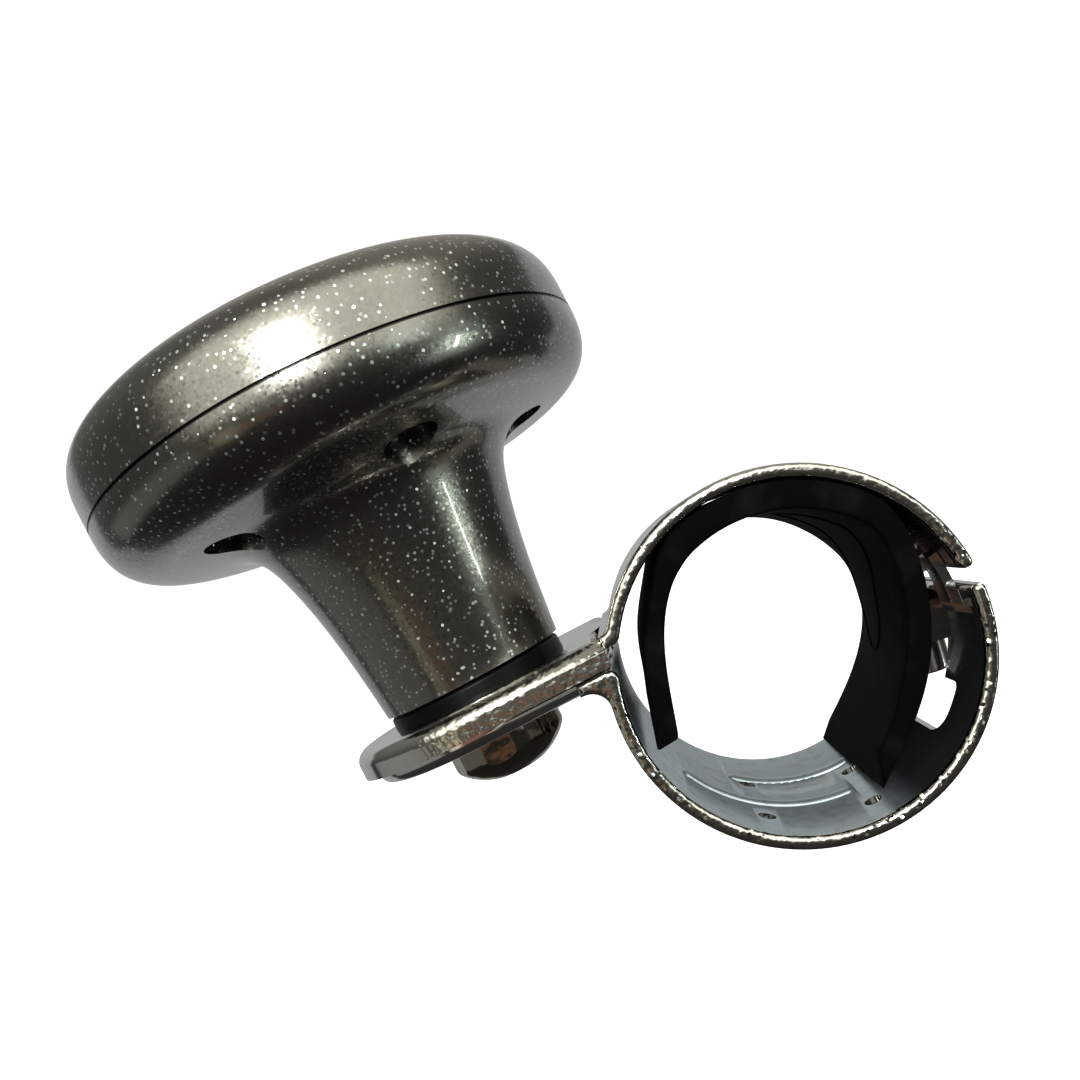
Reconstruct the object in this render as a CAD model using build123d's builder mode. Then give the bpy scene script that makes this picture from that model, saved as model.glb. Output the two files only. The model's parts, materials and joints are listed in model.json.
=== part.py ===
from build123d import *
from math import asin, cos, degrees, radians, sin, sqrt
import os

os.makedirs("parts", exist_ok=True)

# Driving dimensions, in millimetres and degrees.
# The rim of the wheel passes along Y through the origin, inside the band.
# The knob turns about an axis parallel to Z that stands on the arm.
# Ring angles are counted from +X towards +Z.
knob_x = -32.6

# Pressed steel of the two clamp halves
sheet = 1.4
band_outer = 19.0
band_width = 31.5
upper_end_deg = 0.9
lower_end_deg = -4.4
arm_half = 16.3
arm_top_z = 10.7
arm_edge = 1.6
flange_drop = 3.05
flange_end_x = -16.6
flange_corner = 1.2
plate_gap = 1.8
nest_clearance = 0.15
upper_bend_outer = 1.5
upper_bend_inner = 1.2
lower_bend_outer = 2.0
lower_bend_inner = 1.2
lower_edge = 1.1
lower_flange_gap = 0.1
lower_flange_end_x = -17.5
plate_overlap = 0.3

# Pressed beads and small holes of the lower half
bead_radius = 0.85
bead_height = 0.5
beads = [(-5.2, -152.0, -93.0), (4.0, -130.0, -86.0)]
pin_hole_diameter = 1.9
pin_holes = [(-9.6, -124.4), (-10.4, -88.6), (2.3, -125.4), (0.5, -87.0)]

# Clamp screw across the split of the band
screw_y = -3.0
screw_r = 15.0
screw_middle_deg = -1.2
screw_tilt = 10.4
screw_diameter = 3.0
screw_clearance = 0.2
thread_clearance = 0.05
screw_head_diameter = 5.5
screw_head_height = 3.0
screw_socket = 2.5
screw_socket_depth = 1.7
clamp_washer_thickness = 0.5
screw_reach = 3.5
lug_width = 8.0
lug_inside = 2.1
lower_lug_length = 6.5
upper_lug_length = 4.0

# Opening in the band through which the clamp screw is reached
slot_top_deg = -22.3
slot_shoulder_deg = -38.5
slot_bottom_deg = -56.3
slot_clearance = 0.2
slot_width = 12.8
slot_corner = 2.2
slot_shoulder_corner = 0.8

# Tongues that bridge the split
tongue_y = 10.5
tongue_width = 3.0
tongue_thickness = 1.0
tongue_clearance = 0.1
tongue_root_deg = -13.0
tongue_tip_deg = 8.0
tongue_weld_deg = 7.0

# Rubber liner
crown_radius = 14.5
liner_clearance = 0.2
liner_margin = 0.35
liner_pocket = 0.25
crown_start_deg = 106.0
crown_end_deg = 35.0
left_leg_outer = [(-9.6, 12.5), (-13.0, 7.6), (-14.5, 4.1), (-15.4, 1.2), (-16.6, -2.1)]
left_leg_inner = [(-8.1, 11.4), (-11.9, 4.9), (-13.4, 0.3), (-14.1, -1.9)]
leg_lean_deg = 18.0
right_leg_inner_degs = (20.0, 0.0, -20.0, -40.0, -60.0, -78.0)
right_leg_outer_degs = (20.0, 0.0, -20.0, -40.0, -60.0, -85.0)
right_leg_sections = [
    (-1.0, (13.3, 11.5, 10.5, 10.1, 10.8, 11.9), (15.9, 13.95, 12.85, 12.5, 12.85, 15.2)),
    (0.06, (13.6, 11.9, 11.6, 12.0, 12.9, 14.2), (16.2, 14.3, 14.0, 14.4, 15.3, 16.8)),
    (1.0, (14.7, 15.0, 14.6, 14.2, 14.5, 15.9), (17.35, 17.3, 16.9, 16.6, 16.8, 17.35)),
]

# Spindle and what is stacked on it
spindle_diameter = 8.0
spindle_clearance = 0.1
spindle_end = 1.5
spindle_chamfer = 0.6
head_flats = 13.4
head_radius = 6.95
head_height = 5.8
head_tip_radius = 3.3
head_shoulder = 2.7
head_roll, head_roll_drop = 0.5, 1.1
washer_edge = 0.4
spacer_diameter = 16.0
base_washer_diameter = 21.6
base_washer_thickness = 1.5
base_boss_diameter = 11.0
base_boss_height = 0.7
top_washer_diameter = 11.0
top_washer_thickness = 1.0
nut_flats = 13.0
nut_height = 7.0
nut_collar_diameter = 11.6
nut_collar_height = 1.8

# Ball bearings
bearing_outer = 19.0
bearing_width = 6.0
bearing_spacing = 11.5
ring_fit = 0.02
inner_ring_outer = 11.2
outer_ring_inner = 15.8
ball_diameter = 3.97
ball_count = 7
ball_circle = 13.5
ball_start_deg = 180 / ball_count
race_clearance = 0.04
cage_thickness = 1.5
cage_height = 4.9
pocket_clearance = 0.05
ring_chamfer = 0.3

# Knob
knob_radius = 30.0
neck_gap = 0.26
neck_radius = 11.1
neck_waist = (12.95, 13.7)
neck_throat = (14.3, 19.1)
neck_flare = (16.0, 22.6)
dish_start_share, dish_start_height = 0.65, 24.3
dish_edge_share, dish_edge_height = 0.827, 25.1
dish_shoulder_share, dish_shoulder_height = 0.953, 27.0
seam_height = 31.85
seam_gap = 0.15
housing_wall = 2.2
dish_wall = 1.8
shoulder_bore = 17.0
cap_height = 12.2
crown_height = 9.4
cap_shoulder_share, cap_shoulder_drop = 0.85, 2.95
cap_shoulder_slope = 17.0
cap_knuckle_share, cap_knuckle_drop = 0.967, 5.3
cap_wall = 2.4
lip_thickness = 1.5
lip_depth = 2.4
lip_clearance = 0.2

# Five screws that hold the cap to the housing
cap_screw_count = 5
cap_screw_share = 0.633
cap_screw_start_deg = 10.0
cap_screw_diameter = 2.9
cap_screw_clearance = 0.15
pilot_clearance = 0.05
cap_screw_head = 5.4
cap_screw_head_height = 2.0
cap_screw_bite = 7.7
pilot_spare = 1.0
cross_width = 0.7
cross_length = 3.2
cross_depth = 1.0
recess_diameter = 6.0
recess_depth = 3.4
boss_skin = 2.0
boss_wall = 1.3
cap_post_diameter = 7.0
post_gap = 0.1

# Heights and radii that follow from the sizes above
band_inner = band_outer - sheet
upper_bottom_z = arm_top_z - sheet
lower_top_z = upper_bottom_z - plate_gap
lower_bottom_z = lower_top_z - sheet
lower_half = arm_half - sheet - nest_clearance
flange_bottom_z = arm_top_z - flange_drop
lower_flange_top_z = upper_bottom_z - lower_flange_gap
plate_hole = spindle_diameter + 2 * spindle_clearance
lower_bend_reach = (band_outer + lower_bend_outer) ** 2 - (lower_bottom_z - lower_bend_outer) ** 2
lower_bend_x = -sqrt(lower_bend_reach) - plate_overlap

washer_top_z = arm_top_z + base_washer_thickness
stack_z = washer_top_z + base_boss_height
neck_base_z = washer_top_z + neck_gap
spacer_z = stack_z + bearing_width
upper_bearing_z = spacer_z + bearing_spacing
bearing_top_z = upper_bearing_z + bearing_width
nut_z = bearing_top_z + top_washer_thickness
spindle_top_z = nut_z + nut_height + spindle_end
bearing_bore = bearing_outer + 2 * ring_fit

seam_z = neck_base_z + seam_height
dish_start = (dish_start_share * knob_radius, dish_start_height)
dish_edge = (dish_edge_share * knob_radius, dish_edge_height)
dish_shoulder = (dish_shoulder_share * knob_radius, dish_shoulder_height)
dish_floor_z = neck_base_z + dish_edge_height + dish_wall
recess_top_z = neck_base_z + dish_start_height + recess_depth
cap_screw_radius = cap_screw_share * knob_radius
boss_top_z = recess_top_z + boss_skin
crown_z = seam_z + cap_height
cap_centre_z = crown_z - crown_height
cap_base_z = seam_z + seam_gap
shoulder_run = (cos(radians(cap_shoulder_slope)), -sin(radians(cap_shoulder_slope)))
lip_radius = knob_radius - housing_wall - lip_clearance
post_z = boss_top_z + post_gap

washer_s = -lower_lug_length - clamp_washer_thickness
head_s = washer_s - screw_head_height
slot_neck = screw_head_diameter + 2 * slot_clearance
slot_middle_deg = (slot_top_deg + slot_bottom_deg) / 2
section_deg = cap_screw_start_deg + 180 / cap_screw_count
tongue_outer = band_inner - tongue_clearance
tongue_inner = tongue_outer - tongue_thickness
liner_outer = band_inner - liner_clearance
liner_half = band_width / 2 - liner_margin

# Planes and axes
section_x, section_y = (cos(radians(section_deg)), sin(radians(section_deg)))
knob_section = Plane(origin=(knob_x, 0, 0), x_dir=(section_x, section_y, 0), z_dir=(section_y, -section_x, 0))
knob_axis = Axis((knob_x, 0, 0), (0, 0, 1))
ring_axis = Axis((0, 0, 0), (0, -1, 0))
screw_direction = (sin(radians(screw_tilt)), 0, cos(radians(screw_tilt)))
screw_across = (cos(radians(screw_tilt)), 0, -sin(radians(screw_tilt)))
screw_origin = (
    screw_r * cos(radians(screw_middle_deg)),
    screw_y,
    screw_r * sin(radians(screw_middle_deg)),
)
screw_plane = Plane(origin=screw_origin, x_dir=screw_across, z_dir=screw_direction)
screw_section = Plane(origin=screw_origin, x_dir=screw_across, z_dir=(0, -1, 0))


def knob_level(z):
    return Plane(origin=(knob_x, 0, z))


def ring_section(y):
    return Plane(origin=(0, y, 0), x_dir=(1, 0, 0), z_dir=(0, -1, 0))


def ring_point(radius, angle):
    return (radius * cos(radians(angle)), radius * sin(radians(angle)))


def ring_plane(radius, y, angle):
    # Plane that touches the ring wall and faces outwards, with its x along Y.
    x, z = ring_point(radius, angle)
    return Plane(origin=(x, y, z), x_dir=(0, 1, 0), z_dir=(cos(radians(angle)), 0, sin(radians(angle))))


def radial_plane(angle):
    # Plane through the Y axis and a ring angle, with its x pointing outwards.
    x, z = ring_point(1, angle)
    return Plane(origin=(0, 0, 0), x_dir=(x, 0, z), z_dir=(-z, 0, x))


def finish(piece, label):
    piece.part.label = label
    export_step(piece.part, f"parts/{label}.step")


def arm_plan(z, half, end_x):
    # Plan of an arm plate: a round end about the knob axis and straight sides.
    with BuildSketch(Plane.XY.offset(z)) as plan:
        with Locations((knob_x, 0)):
            Circle(half)
            Rectangle(end_x - knob_x, 2 * half, align=(Align.MIN, Align.CENTER))
    return plan.sketch


def bend_arc(wall_radius, plate_z, bend_radius, side):
    # Arc that joins the flat face of an arm plate to a face of the band, and the ring angle it ends at.
    reach = wall_radius + bend_radius
    centre_z = plate_z + side * bend_radius
    wall_deg = 180 - degrees(asin(centre_z / reach))
    arc = CenterArc(
        ring_point(reach, wall_deg), bend_radius, -90 * side, 90 * side + wall_deg - 180, mode=Mode.PRIVATE
    )
    return arc, wall_deg


def band_profile(free_deg, side, outer_z, inner_z, outer_bend, inner_bend, plate_x):
    # Section of one half of the band and the root of its arm plate, rounded at the bend.
    turn = 0 if side > 0 else -360
    outer_arc, outer_deg = bend_arc(band_outer, outer_z, outer_bend, side)
    inner_arc, inner_deg = bend_arc(band_inner, inner_z, inner_bend, side)
    with BuildSketch(Plane.XZ) as profile:
        with BuildLine():
            outer = CenterArc((0, 0), band_outer, free_deg, outer_deg + turn - free_deg)
            inner = CenterArc((0, 0), band_inner, free_deg, inner_deg + turn - free_deg)
            add(outer_arc)
            add(inner_arc)
            Line(outer @ 0, inner @ 0)
            Polyline(outer_arc @ 0, (plate_x, outer_z), (plate_x, inner_z), inner_arc @ 0)
        make_face()
    return profile.sketch


def ring_sector(y, inner_radius, outer_radius, start_deg, end_deg):
    # Section of a piece of ring wall between two ring angles.
    with BuildSketch(ring_section(y)) as piece:
        with BuildLine():
            outer = CenterArc((0, 0), outer_radius, start_deg, end_deg - start_deg)
            inner = CenterArc((0, 0), inner_radius, start_deg, end_deg - start_deg)
            Line(outer @ 0, inner @ 0)
            Line(outer @ 1, inner @ 1)
        make_face()
    return piece.sketch


# Upper clamp half: channel arm and upper half of the band
with BuildPart() as upper_clamp_half:
    extrude(arm_plan(flange_bottom_z, arm_half, flange_end_x), amount=flange_drop)
    corner = upper_clamp_half.edges().filter_by(Axis.Y).group_by(Axis.Z)[0].sort_by(Axis.X)[-1]
    fillet(corner, flange_corner)
    rim_edges = upper_clamp_half.faces().sort_by(Axis.Z)[-1].edges().sort_by(Axis.X)[:-1]
    fillet(rim_edges, arm_edge)
    cavity = arm_plan(flange_bottom_z, arm_half - sheet, flange_end_x)
    extrude(cavity, amount=flange_drop - sheet, mode=Mode.SUBTRACT)
    profile = band_profile(
        upper_end_deg, 1, arm_top_z, upper_bottom_z, upper_bend_outer, upper_bend_inner, flange_end_x
    )
    extrude(profile, amount=band_width / 2, both=True)
    with BuildSketch(knob_level(upper_bottom_z)):
        Circle(plate_hole / 2)
    extrude(amount=sheet, mode=Mode.SUBTRACT)
finish(upper_clamp_half, "upper_clamp_half")

# Lower clamp half: tray-shaped arm plate nested in the channel and lower half of the band
with BuildPart() as lower_clamp_half:
    extrude(
        arm_plan(lower_bottom_z, lower_half, lower_flange_end_x),
        amount=lower_flange_top_z - lower_bottom_z,
    )
    bottom_edges = lower_clamp_half.faces().sort_by(Axis.Z)[0].edges().sort_by(Axis.X)[:-1]
    fillet(bottom_edges, lower_edge)
    tray = arm_plan(lower_top_z, lower_half - sheet, lower_flange_end_x)
    extrude(tray, amount=lower_flange_top_z - lower_top_z, mode=Mode.SUBTRACT)
    profile = band_profile(
        lower_end_deg, -1, lower_bottom_z, lower_top_z, lower_bend_outer, lower_bend_inner, lower_bend_x
    )
    extrude(profile, amount=band_width / 2, both=True)
    for bead_y, bead_start, bead_end in beads:
        for face_radius, mode in ((band_inner, Mode.ADD), (band_outer, Mode.SUBTRACT)):
            bead_r = face_radius + bead_radius - bead_height
            with BuildSketch(radial_plane(bead_start)):
                with Locations((bead_r, bead_y)):
                    Circle(bead_radius)
            revolve(axis=ring_axis, revolution_arc=bead_end - bead_start, mode=mode)
            for end_deg in (bead_start, bead_end):
                x, z = ring_point(bead_r, end_deg)
                with Locations((x, bead_y, z)):
                    Sphere(bead_radius, mode=mode)
    for hole_y, hole_deg in pin_holes:
        with BuildSketch(ring_plane(band_outer, hole_y, hole_deg)):
            Circle(pin_hole_diameter / 2)
        extrude(amount=-2 * sheet, mode=Mode.SUBTRACT)
    slot_r = (band_inner + band_outer) / 2
    slot_top = slot_r * sin(radians(slot_top_deg - slot_middle_deg))
    slot_shoulder = slot_r * sin(radians(slot_shoulder_deg - slot_middle_deg))
    slot_bottom = slot_r * sin(radians(slot_bottom_deg - slot_middle_deg))
    with BuildSketch(ring_plane(band_outer, screw_y, slot_middle_deg)) as slot:
        with Locations((0, slot_bottom)):
            Rectangle(slot_width, slot_shoulder - slot_bottom, align=(Align.CENTER, Align.MIN))
        fillet(slot.vertices().group_by(Axis.Y)[0], slot_corner)
        fillet(slot.vertices().group_by(Axis.Y)[-1], slot_shoulder_corner)
        with Locations((0, slot_top)):
            Rectangle(slot_neck, slot_top - slot_bottom - slot_corner, align=(Align.CENTER, Align.MAX))
    extrude(amount=band_outer - band_inner + sheet, both=True, mode=Mode.SUBTRACT)
    for side in (-1, 1):
        y = side * tongue_y
        tongue = ring_sector(y, tongue_inner, tongue_outer, tongue_root_deg, tongue_tip_deg)
        extrude(tongue, amount=tongue_width / 2, both=True)
        weld = ring_sector(y, tongue_inner, band_inner, tongue_root_deg, tongue_root_deg + tongue_weld_deg)
        extrude(weld, amount=tongue_width / 2, both=True)
    with BuildSketch(knob_level(lower_bottom_z)):
        Circle(plate_hole / 2)
    extrude(amount=sheet, mode=Mode.SUBTRACT)
finish(lower_clamp_half, "lower_clamp_half")


def lug_profile(start_s, end_s, side, end_deg):
    # Section of a lug: a block square to the screw, ending on the band wall and at the split.
    with BuildSketch(screw_section) as block:
        with Locations((-lug_inside, start_s)):
            Rectangle(band_outer, end_s - start_s, align=(Align.MIN, Align.MIN))
    with BuildSketch(ring_section(screw_y)) as lug:
        add(block.sketch)
        Circle(band_inner, mode=Mode.INTERSECT)
        split_side = Align.MIN if side > 0 else Align.MAX
        reach = 2 * band_outer
        Rectangle(reach, reach, rotation=end_deg, align=(Align.MIN, split_side), mode=Mode.INTERSECT)
    return lug.sketch


# Lugs welded behind the two ends of the band, the upper one threaded
with BuildPart() as upper_lug:
    profile = lug_profile(-upper_lug_length, upper_lug_length, 1, upper_end_deg)
    extrude(profile, amount=lug_width / 2, both=True)
    with BuildSketch(screw_plane):
        Circle(screw_diameter / 2 + thread_clearance)
    extrude(amount=upper_lug_length, both=True, mode=Mode.SUBTRACT)
finish(upper_lug, "upper_lug")

with BuildPart() as lower_lug:
    profile = lug_profile(-lower_lug_length, upper_lug_length, -1, lower_end_deg)
    extrude(profile, amount=lug_width / 2, both=True)
    with BuildSketch(screw_plane):
        Circle(screw_diameter / 2 + screw_clearance)
    extrude(amount=lower_lug_length, both=True, mode=Mode.SUBTRACT)
finish(lower_lug, "lower_lug")

# Clamp screw with a socket head, and the washer under it
with BuildPart() as clamp_screw:
    with BuildSketch(screw_plane.offset(head_s)):
        Circle(screw_head_diameter / 2)
    extrude(amount=screw_head_height)
    fillet(clamp_screw.edges().group_by(Axis.Z)[0], ring_chamfer)
    with BuildSketch(screw_plane.offset(head_s)):
        RegularPolygon(screw_socket / 2, 6, major_radius=False)
    extrude(amount=screw_socket_depth, mode=Mode.SUBTRACT)
    with BuildSketch(screw_plane.offset(washer_s)):
        Circle(screw_diameter / 2)
    extrude(amount=screw_reach - washer_s)
finish(clamp_screw, "clamp_screw")

with BuildPart() as clamp_washer:
    with BuildSketch(screw_plane.offset(washer_s)):
        Circle(screw_head_diameter / 2)
        Circle(screw_diameter / 2 + screw_clearance, mode=Mode.SUBTRACT)
    extrude(amount=clamp_washer_thickness)
finish(clamp_washer, "clamp_washer")

# Rubber liner inside the band: crown and near leg of one section, far leg twisted across the width
with BuildPart() as rim_liner:
    with BuildSketch(Plane.XZ):
        with BuildLine():
            crown_outer = CenterArc((0, 0), liner_outer, crown_end_deg, crown_start_deg - crown_end_deg)
            crown_inner = CenterArc((0, 0), crown_radius, crown_end_deg, crown_start_deg - crown_end_deg)
            Line(crown_outer @ 0, crown_inner @ 0)
            leg_end = (-sin(radians(leg_lean_deg)), -cos(radians(leg_lean_deg)))
            leg_outer = Spline(crown_outer @ 1, *left_leg_outer, tangents=(crown_outer % 1, leg_end))
            leg_inner = Spline(crown_inner @ 1, *left_leg_inner, tangents=(crown_inner % 1, leg_end))
            Line(leg_outer @ 1, leg_inner @ 1)
        make_face()
    extrude(amount=liner_half, both=True)
    for y, inner_radii, outer_radii in right_leg_sections:
        with BuildSketch(ring_section(y * liner_half)):
            with BuildLine():
                inner_points = [ring_point(r, a) for r, a in zip(inner_radii, right_leg_inner_degs)]
                outer_points = [ring_point(r, a) for r, a in zip(outer_radii, right_leg_outer_degs)]
                inner = Spline(ring_point(crown_radius, crown_end_deg), *inner_points)
                outer = Spline(ring_point(liner_outer, crown_end_deg), *outer_points)
                Line(inner @ 0, outer @ 0)
                Line(inner @ 1, outer @ 1)
            make_face()
    loft()
    pockets = (
        (-lug_inside, -lower_lug_length, upper_lug_length),
        (-screw_head_diameter / 2, head_s, washer_s + clamp_washer_thickness),
    )
    for start_u, start_s, end_s in pockets:
        with BuildSketch(screw_section):
            with Locations((start_u - liner_pocket, start_s - liner_pocket)):
                Rectangle(band_outer, end_s - start_s + 2 * liner_pocket, align=(Align.MIN, Align.MIN))
        extrude(amount=lug_width / 2 + liner_pocket, both=True, mode=Mode.SUBTRACT)
    for side in (-1, 1):
        pocket = ring_sector(
            side * tongue_y,
            tongue_inner - liner_pocket,
            band_outer,
            tongue_root_deg - 1,
            tongue_tip_deg + 1,
        )
        extrude(pocket, amount=tongue_width / 2 + liner_pocket, both=True, mode=Mode.SUBTRACT)
finish(rim_liner, "rim_liner")

# Spindle bolt, its round chrome head under the arm with six narrow flats
with BuildPart() as spindle_bolt:
    with BuildSketch(knob_section):
        with BuildLine():
            flank = Spline(
                (head_radius, lower_bottom_z - head_shoulder),
                (head_radius - head_roll, lower_bottom_z - head_shoulder - head_roll_drop),
                (head_tip_radius, lower_bottom_z - head_height),
                tangents=((0, -1), (-1, -0.35)),
            )
            Polyline(flank @ 1, (0, lower_bottom_z - head_height), (0, lower_bottom_z))
            Polyline((0, lower_bottom_z), (head_radius, lower_bottom_z), flank @ 0)
        make_face()
    revolve(axis=knob_axis)
    with BuildSketch(knob_level(lower_bottom_z)):
        RegularPolygon(head_flats / 2, 6, major_radius=False)
    extrude(amount=-head_height, mode=Mode.INTERSECT)
    with BuildSketch(knob_level(lower_bottom_z)):
        Circle(spindle_diameter / 2)
    extrude(amount=spindle_top_z - lower_bottom_z)
    chamfer(spindle_bolt.edges().sort_by(Axis.Z)[-1], spindle_chamfer)
finish(spindle_bolt, "spindle_bolt")


def tube(z, height, outer_diameter, inner_diameter):
    # Plain ring about the knob axis.
    with BuildPart() as ring:
        with BuildSketch(knob_level(z)):
            Circle(outer_diameter / 2)
            Circle(inner_diameter / 2, mode=Mode.SUBTRACT)
        extrude(amount=height)
    return ring


# Rings stacked on the spindle, from the arm upwards
plate_spacer = tube(lower_top_z, plate_gap, spacer_diameter, plate_hole)
finish(plate_spacer, "plate_spacer")

with BuildPart() as base_washer:
    add(tube(arm_top_z, base_washer_thickness, base_washer_diameter, plate_hole).part)
    fillet(base_washer.edges().group_by(Axis.Z)[-1].sort_by(SortBy.RADIUS)[-1], washer_edge)
    add(tube(washer_top_z, base_boss_height, base_boss_diameter, plate_hole).part)
finish(base_washer, "base_washer")

bearing_spacer = tube(spacer_z, bearing_spacing, base_boss_diameter, plate_hole)
finish(bearing_spacer, "bearing_spacer")

top_washer = tube(bearing_top_z, top_washer_thickness, top_washer_diameter, plate_hole)
finish(top_washer, "top_washer")

# Lock nut: a hexagon with a round collar for its nylon ring
with BuildPart() as lock_nut:
    with BuildSketch(knob_level(nut_z)):
        RegularPolygon(nut_flats / 2, 6, major_radius=False)
    extrude(amount=nut_height - nut_collar_height)
    with BuildSketch(knob_level(nut_z + nut_height - nut_collar_height)):
        Circle(nut_collar_diameter / 2)
    extrude(amount=nut_collar_height)
    with BuildSketch(knob_level(nut_z)):
        Circle(spindle_diameter / 2 + thread_clearance)
    extrude(amount=nut_height, mode=Mode.SUBTRACT)
finish(lock_nut, "lock_nut")


def bearing_ring(z, inner_diameter, outer_diameter, bore_side):
    # Ring of a ball bearing with its raceway, chamfered on the side that is seated.
    with BuildPart() as ring:
        with BuildSketch(knob_section) as section:
            with Locations((inner_diameter / 2, z)):
                Rectangle((outer_diameter - inner_diameter) / 2, bearing_width, align=(Align.MIN, Align.MIN))
            seated = section.vertices().group_by(Axis.X)[0 if bore_side else -1]
            chamfer(seated, ring_chamfer)
            with Locations((ball_circle / 2, z + bearing_width / 2)):
                Circle(ball_diameter / 2 + race_clearance, mode=Mode.SUBTRACT)
        revolve(axis=knob_axis)
    return ring


def bearing_balls(z):
    with BuildPart() as balls:
        with Locations(knob_level(z + bearing_width / 2)):
            with PolarLocations(ball_circle / 2, ball_count, start_angle=ball_start_deg):
                Sphere(ball_diameter / 2)
    return balls


def bearing_cage(z):
    # Ribbon that keeps the balls apart, drilled with a round pocket for each one.
    with BuildPart() as cage:
        with BuildSketch(knob_level(z + (bearing_width - cage_height) / 2)):
            Circle((ball_circle + cage_thickness) / 2)
            Circle((ball_circle - cage_thickness) / 2, mode=Mode.SUBTRACT)
        extrude(amount=cage_height)
        for ball in range(ball_count):
            across, along = ring_point(1, ball_start_deg + 360 * ball / ball_count)
            middle = (knob_x, 0, z + bearing_width / 2)
            pocket = Plane(origin=middle, x_dir=(0, 0, 1), z_dir=(across, along, 0))
            with BuildSketch(pocket.offset(ball_circle / 2)):
                Circle(ball_diameter / 2 + pocket_clearance)
            extrude(amount=cage_thickness, both=True, mode=Mode.SUBTRACT)
    return cage


# Two ball bearings, one at each end of the neck
inner_bore = spindle_diameter + 2 * ring_fit
for place, z in (("lower", stack_z), ("upper", upper_bearing_z)):
    finish(bearing_ring(z, inner_bore, inner_ring_outer, True), f"{place}_inner_ring")
    finish(bearing_ring(z, outer_ring_inner, bearing_outer, False), f"{place}_outer_ring")
    finish(bearing_balls(z), f"{place}_balls")
    finish(bearing_cage(z), f"{place}_cage")


def neck_point(radius, height):
    return (radius, neck_base_z + height)


# Knob housing: trumpet neck, dished underside and five screw bosses
with BuildPart() as knob_housing:
    with BuildSketch(knob_section):
        with BuildLine():
            neck = Spline(
                neck_point(neck_radius, 0),
                neck_point(*neck_waist),
                neck_point(*neck_throat),
                neck_point(*neck_flare),
                neck_point(*dish_start),
                tangents=((0.09, 1), (1, 0.15)),
            )
            under = Line(neck @ 1, neck_point(*dish_edge))
            edge = Spline(
                under @ 1,
                neck_point(*dish_shoulder),
                (knob_radius, seam_z),
                tangents=(under % 1, (0, 1)),
            )
            wall = Polyline(
                edge @ 1,
                (knob_radius - housing_wall, seam_z),
                (knob_radius - housing_wall, seam_z - lip_depth - lip_clearance),
            )
            shoulder = Spline(wall @ 1, (dish_edge[0], dish_floor_z), tangents=((0, -1), (-1, 0)))
            Polyline(
                shoulder @ 1,
                (bearing_bore / 2, dish_floor_z),
                (bearing_bore / 2, upper_bearing_z),
                (shoulder_bore / 2, upper_bearing_z),
                (shoulder_bore / 2, spacer_z),
                (bearing_bore / 2, spacer_z),
                (bearing_bore / 2, neck_base_z),
                neck @ 0,
            )
        make_face()
    revolve(axis=knob_axis)
    with BuildSketch(knob_level(dish_floor_z)):
        with PolarLocations(cap_screw_radius, cap_screw_count, start_angle=cap_screw_start_deg):
            Circle(recess_diameter / 2 + boss_wall)
    extrude(amount=boss_top_z - dish_floor_z)
    with BuildSketch(knob_level(recess_top_z)):
        with PolarLocations(cap_screw_radius, cap_screw_count, start_angle=cap_screw_start_deg):
            Circle(recess_diameter / 2)
    extrude(amount=-2 * recess_depth, mode=Mode.SUBTRACT)
    with BuildSketch(knob_level(recess_top_z)):
        with PolarLocations(cap_screw_radius, cap_screw_count, start_angle=cap_screw_start_deg):
            Circle(cap_screw_diameter / 2 + cap_screw_clearance)
    extrude(amount=boss_skin, mode=Mode.SUBTRACT)
finish(knob_housing, "knob_housing")


def dome_points(wall):
    # Crown, shoulder, knuckle and rim of the cap's profile, moved in by the wall.
    across = knob_radius - wall
    down = (crown_height - wall) / crown_height
    return (
        (0, crown_z - wall),
        (cap_shoulder_share * across, crown_z - wall - cap_shoulder_drop * down),
        (cap_knuckle_share * across, crown_z - wall - cap_knuckle_drop * down),
        (across, cap_centre_z),
    )


# Hollow of the knob cap, with room left for the five screw posts
with BuildPart() as cap_hollow:
    with BuildSketch(knob_section):
        with BuildLine():
            crown, shoulder, knuckle, rim = dome_points(cap_wall)
            Spline(crown, shoulder, tangents=((1, 0), shoulder_run))
            Spline(shoulder, knuckle, rim, tangents=(shoulder_run, (0, -1)))
            Polyline(
                rim,
                (lip_radius - lip_thickness, cap_centre_z - lip_thickness),
                (lip_radius - lip_thickness, seam_z - lip_depth),
                (0, seam_z - lip_depth),
                crown,
            )
        make_face()
    revolve(axis=knob_axis)
    with BuildSketch(knob_level(post_z)):
        with PolarLocations(cap_screw_radius, cap_screw_count, start_angle=cap_screw_start_deg):
            Circle(cap_post_diameter / 2)
    extrude(amount=cap_height, mode=Mode.SUBTRACT)

# Knob cap: domed shell with an inner lip and five screw posts
with BuildPart() as knob_cap:
    with BuildSketch(knob_section):
        with BuildLine():
            crown, shoulder, knuckle, rim = dome_points(0)
            Spline(crown, shoulder, tangents=((1, 0), shoulder_run))
            Spline(shoulder, knuckle, rim, tangents=(shoulder_run, (0, -1)))
            Polyline(
                rim,
                (knob_radius, cap_base_z),
                (lip_radius, cap_base_z),
                (lip_radius, seam_z - lip_depth),
                (0, seam_z - lip_depth),
                crown,
            )
        make_face()
    revolve(axis=knob_axis)
    add(cap_hollow.part, mode=Mode.SUBTRACT)
    with BuildSketch(knob_level(post_z)):
        with PolarLocations(cap_screw_radius, cap_screw_count, start_angle=cap_screw_start_deg):
            Circle(cap_screw_diameter / 2 + pilot_clearance)
    extrude(amount=cap_screw_bite + pilot_spare, mode=Mode.SUBTRACT)
finish(knob_cap, "knob_cap")

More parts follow.
